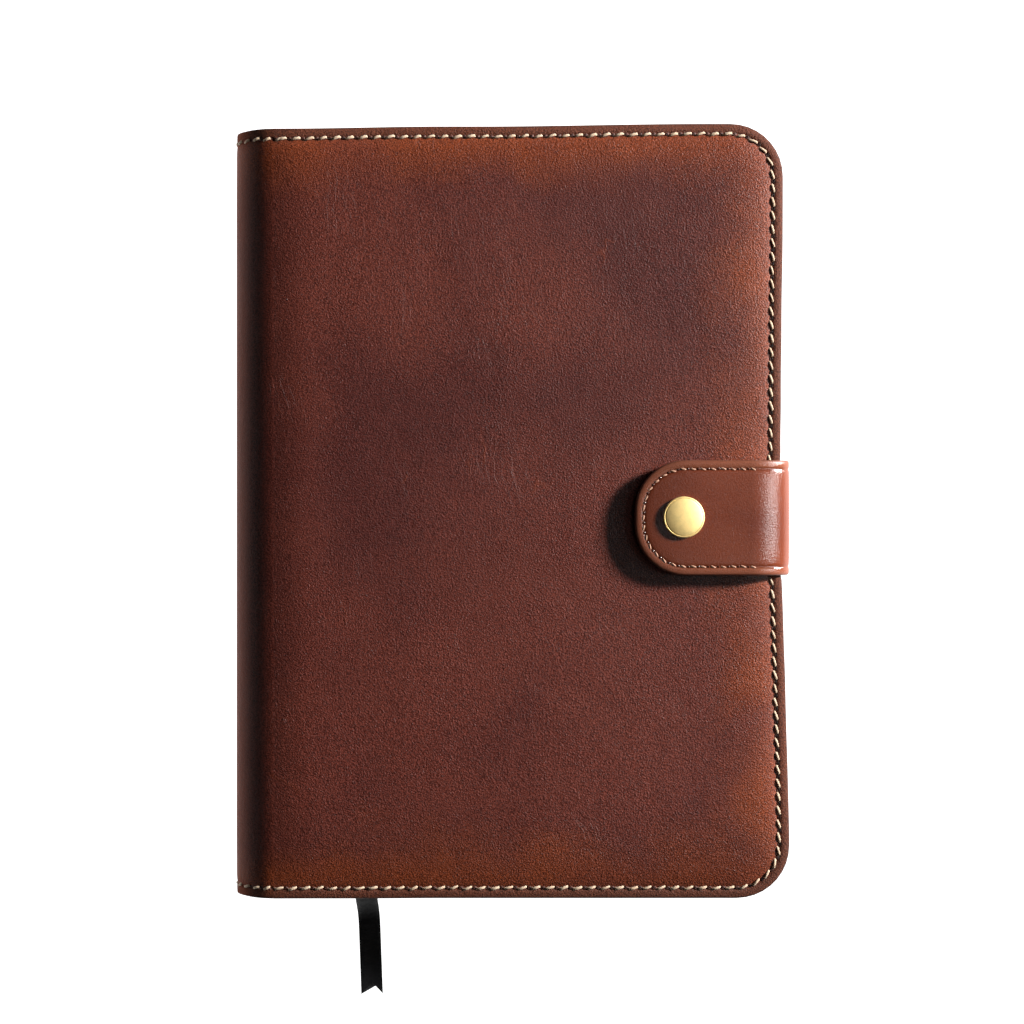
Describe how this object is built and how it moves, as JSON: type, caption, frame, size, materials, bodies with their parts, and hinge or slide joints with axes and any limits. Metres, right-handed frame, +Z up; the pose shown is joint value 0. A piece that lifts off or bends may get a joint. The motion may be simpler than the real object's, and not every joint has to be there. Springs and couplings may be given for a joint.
{
  "type": "leather notebook cover",
  "caption": "Leather cover with a snap tab, sewn edges, pockets and a ribbon, holding a sewn paper notebook; opens flat at the spine",
  "frame": {"origin": "middle of the closed cover and its tab, on the surface it lies on", "axes": "+X from the spine to the fore edge and tab, +Y from tail to head, +Z up through the front cover"},
  "size_m": [0.1594, 0.2531, 0.0297],
  "materials": {
    "cover_leather": "pull-up, satin",
    "tab_leather": "smooth, semi-gloss",
    "lining_leather": "suede, matt",
    "stiffener_board": "matt",
    "seam_thread": "waxed thread",
    "notebook_card": "matt",
    "notebook_paper": "uncoated",
    "ribbon_satin": "satin weave",
    "snap_brass": "satin, domed"
  },
  "bodies": {
    "back": {"back_cover_leather": "cover_leather", "back_stiffener": "stiffener_board", "back_lining": "lining_leather", "back_pocket": "lining_leather", "back_seam_thread": "seam_thread", "tab_anchor": "tab_leather", "notebook_back_board": "notebook_card", "signature_rear_1": "notebook_paper", "signature_rear_2": "notebook_paper", "signature_rear_3": "notebook_paper", "signature_rear_4": "notebook_paper", "signature_rear_5": "notebook_paper", "ribbon_bookmark": "ribbon_satin"},
    "spine_lower": {"spine_lower_leather": "cover_leather", "spine_lower_lining": "lining_leather", "spine_lower_head_thread": "seam_thread", "spine_lower_tail_thread": "seam_thread"},
    "spine_mid": {"spine_mid_leather": "cover_leather", "spine_mid_lining": "lining_leather", "spine_mid_head_thread": "seam_thread", "spine_mid_tail_thread": "seam_thread"},
    "spine_upper": {"spine_upper_leather": "cover_leather", "spine_upper_lining": "lining_leather", "spine_upper_head_thread": "seam_thread", "spine_upper_tail_thread": "seam_thread"},
    "front": {"front_cover_leather": "cover_leather", "front_stiffener": "stiffener_board", "front_lining": "lining_leather", "front_pocket": "lining_leather", "front_seam_thread": "seam_thread", "snap_stud": "snap_brass", "notebook_front_board": "notebook_card"},
    "pages_front": {"signature_front_1": "notebook_paper", "signature_front_2": "notebook_paper", "signature_front_3": "notebook_paper", "signature_front_4": "notebook_paper", "signature_front_5": "notebook_paper"},
    "tab_riser": {"tab_riser_leather": "tab_leather", "tab_riser_lining": "lining_leather"},
    "tab_shoulder": {"tab_shoulder_leather": "tab_leather", "tab_shoulder_lining": "lining_leather"},
    "tab_flap": {"tab_flap_leather": "tab_leather", "tab_flap_lining": "lining_leather", "tab_flap_thread": "seam_thread", "snap_cap": "snap_brass", "snap_socket": "snap_brass"}
  },
  "joints": [
    {"name": "spine_bend_1", "type": "hinge", "parent": "back", "child": "spine_lower", "pos_m": [-0.07267, 0, 0], "axis": [0, -1, 0], "range_deg": [0, 45]},
    {"name": "spine_bend_2", "type": "hinge", "parent": "spine_lower", "child": "spine_mid", "pos_m": [-0.0797, 0, 0.00703], "axis": [0, -1, 0], "range_deg": [0, 45]},
    {"name": "spine_bend_3", "type": "hinge", "parent": "spine_mid", "child": "spine_upper", "pos_m": [-0.0797, 0, 0.01697], "axis": [0, -1, 0], "range_deg": [0, 45]},
    {"name": "front_hinge", "type": "hinge", "parent": "spine_upper", "child": "front", "pos_m": [-0.07267, 0, 0.024], "axis": [0, -1, 0], "range_deg": [0, 45]},
    {"name": "pages_turn", "type": "hinge", "parent": "back", "child": "pages_front", "pos_m": [-0.0727, 0, 0.012], "axis": [0, -1, 0], "range_deg": [0, 180]},
    {"name": "tab_foot", "type": "hinge", "parent": "back", "child": "tab_riser", "pos_m": [0.0797, -0.00165, 0.0019], "axis": [0, 1, 0], "range_deg": [0, 90]},
    {"name": "tab_shoulder_bend", "type": "hinge", "parent": "tab_riser", "child": "tab_shoulder", "pos_m": [0.0797, -0.00165, 0.0241], "axis": [0, 1, 0], "range_deg": [0, 45]},
    {"name": "tab_flap_bend", "type": "hinge", "parent": "tab_shoulder", "child": "tab_flap", "pos_m": [0.0761, -0.00165, 0.0277], "axis": [0, 1, 0], "range_deg": [0, 45]}
  ],
  "couplings": [
    {"joint": "spine_bend_2", "follows": "spine_bend_1", "ratio": 1},
    {"joint": "spine_bend_3", "follows": "spine_bend_1", "ratio": 1},
    {"joint": "front_hinge", "follows": "spine_bend_1", "ratio": 1},
    {"joint": "pages_turn", "follows": "spine_bend_1", "ratio": 4},
    {"joint": "tab_flap_bend", "follows": "tab_shoulder_bend", "ratio": 1}
  ]
}
